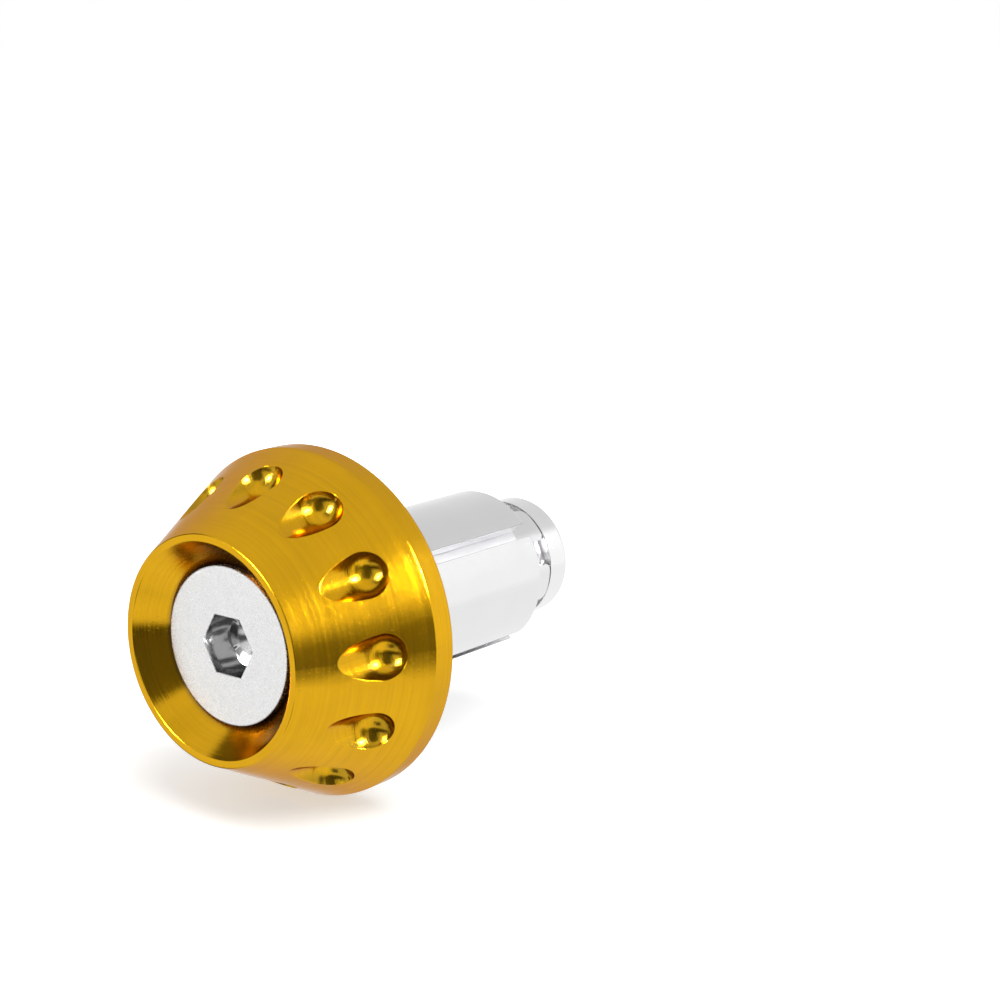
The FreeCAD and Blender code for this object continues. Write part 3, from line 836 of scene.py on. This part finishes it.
class BAREND_OT_stage(Operator):
    """Set up the floor, the soft light and the camera"""

    bl_idname = "barend.stage"
    bl_label = "Stage"

    def execute(self, context):
        stage = context.scene.bar_end_stage
        self.lay_floor(stage)
        self.light(context, stage)
        self.aim_camera(context, stage)
        context.scene.view_settings.view_transform = "Standard"
        return {"FINISHED"}

    def lay_floor(self, stage):
        """A round floor that touches the rim and reads white, with a soft shadow."""
        shell = bmesh.new()
        bmesh.ops.create_circle(shell, cap_ends=True, cap_tris=True, segments=96, radius=FLOOR_RADIUS)
        mesh = bpy.data.meshes.new("floor")
        shell.to_mesh(mesh)
        shell.free()
        mesh.transform(Matrix.Translation((0, 0, CAD_BOX[0].z - FLOOR_GAP)))
        material = bpy.data.materials.new("floor")
        tree = blank_tree(material)
        paint = add_node(tree, "ShaderNodeBsdfDiffuse", {"Color": (*stage.floor, 1.0)})
        seen = calc("MAXIMUM", ray_fact(tree, "Is Camera Ray"), mirrored(tree))
        away = add_node(tree, "ShaderNodeVectorMath", {0: object_place(tree)}, operation="LENGTH")
        white = between(Number(away.outputs["Value"]), GLOW_START, GLOW_FULL, stage.floor_glow, 1.0)
        glow = add_node(tree, "ShaderNodeEmission", {"Color": (*WHITE, 1.0), "Strength": seen * white})
        both = add_node(tree, "ShaderNodeAddShader", {0: paint.outputs[0], 1: glow.outputs[0]})
        add_node(tree, "ShaderNodeOutputMaterial", {"Surface": both.outputs[0]})
        mesh.materials.append(material)
        floor = add_object("floor", mesh)
        floor.visible_glossy = False

    def light(self, context, stage):
        """A white room, a large lamp overhead, and cards for the reflections."""
        world = bpy.data.worlds.new("studio")
        context.scene.world = world
        tree = blank_tree(world)

        # Reflections see a room that is dimmer overhead, and dimmer still high up behind the plug
        _, y, z = split(tree, add_node(tree, "ShaderNodeTexCoord").outputs["Generated"])
        behind = between(y, 0.2, 0.75) * between(z, 0.02, 0.3, 0.0, 0.08)
        room = between(z, -0.1, 0.75, 1.0, 0.8) - behind
        glossy = mirrored(tree)
        white = between(glossy, 0.0, 1.0, 1.0, room)
        seen = calc("MAXIMUM", ray_fact(tree, "Is Camera Ray"), glossy) * before_bounce(tree)
        strength = between(seen, 0.0, 1.0, stage.sky, white)
        sky = add_node(tree, "ShaderNodeBackground", {"Color": (*WHITE, 1.0), "Strength": strength})
        add_node(tree, "ShaderNodeOutputWorld", {"Surface": sky.outputs[0]})

        lamp = bpy.data.lights.new("soft_lamp", "AREA")
        lamp.shape = "DISK"
        lamp.size = LAMP_WIDTH
        lamp.energy = stage.lamp
        holder = add_object("soft_lamp", lamp)
        holder.matrix_world = placed_at(LAMP_AZIMUTH, LAMP_ELEVATION)
        holder.visible_glossy = False

        for plan in SOFT_BOXES:
            glossy_card(plan, stage.softbox, COOL_WHITE, stage.hot)
        for plan in PLAIN_CARDS:
            glossy_card(plan)

    def aim_camera(self, context, stage):
        """The photograph's view of the front unit."""
        data = bpy.data.cameras.new("camera")
        data.sensor_width = 36.0
        data.lens = stage.lens
        data.clip_start = 0.01
        data.clip_end = 20.0
        camera = add_object("camera", data)
        turned = Vector(CAMERA_LOOK).to_track_quat("-Z", "Y").to_matrix().to_4x4()
        camera.matrix_world = Matrix.Translation(CAMERA_PLACE) @ turned
        context.scene.camera = camera


class BAREND_PT_sidebar(Panel):
    """Lists the sizes, the finishes and the steps"""

    bl_idname = "BAREND_PT_sidebar"
    bl_label = "Bar end weight"
    bl_space_type = "VIEW_3D"
    bl_region_type = "UI"
    bl_category = "Bar end"

    def draw(self, context):
        scene = context.scene
        for group in (scene.bar_end_finishes, scene.bar_end_thread, scene.bar_end_stage):
            box = self.layout.box()
            for word in group.__annotations__:
                box.prop(group, word)
        for step in STEPS:
            self.layout.operator(step.bl_idname)


GROUPS = (BarEndFinishes, BarEndThread, BarEndStage)
STEPS = (BAREND_OT_head, BAREND_OT_washer, BAREND_OT_expander, BAREND_OT_nut, BAREND_OT_screw,
         BAREND_OT_stage)


def register():
    """Make the settings, steps and sidebar known."""
    for item in (*GROUPS, *STEPS, BAREND_PT_sidebar):
        bpy.utils.register_class(item)
    bpy.types.Scene.bar_end_finishes = PointerProperty(type=BarEndFinishes)
    bpy.types.Scene.bar_end_thread = PointerProperty(type=BarEndThread)
    bpy.types.Scene.bar_end_stage = PointerProperty(type=BarEndStage)


def unregister():
    """Take them out again."""
    for word in ("bar_end_finishes", "bar_end_thread", "bar_end_stage"):
        delattr(bpy.types.Scene, word)
    for item in reversed((*GROUPS, *STEPS, BAREND_PT_sidebar)):
        bpy.utils.unregister_class(item)


def main():
    """Make the steps known, then run every step in order."""
    register()
    bpy.ops.barend.head()
    bpy.ops.barend.washer()
    bpy.ops.barend.expander()
    bpy.ops.barend.nut()
    bpy.ops.barend.screw()
    bpy.ops.barend.stage()


if __name__ == "__main__":
    main()
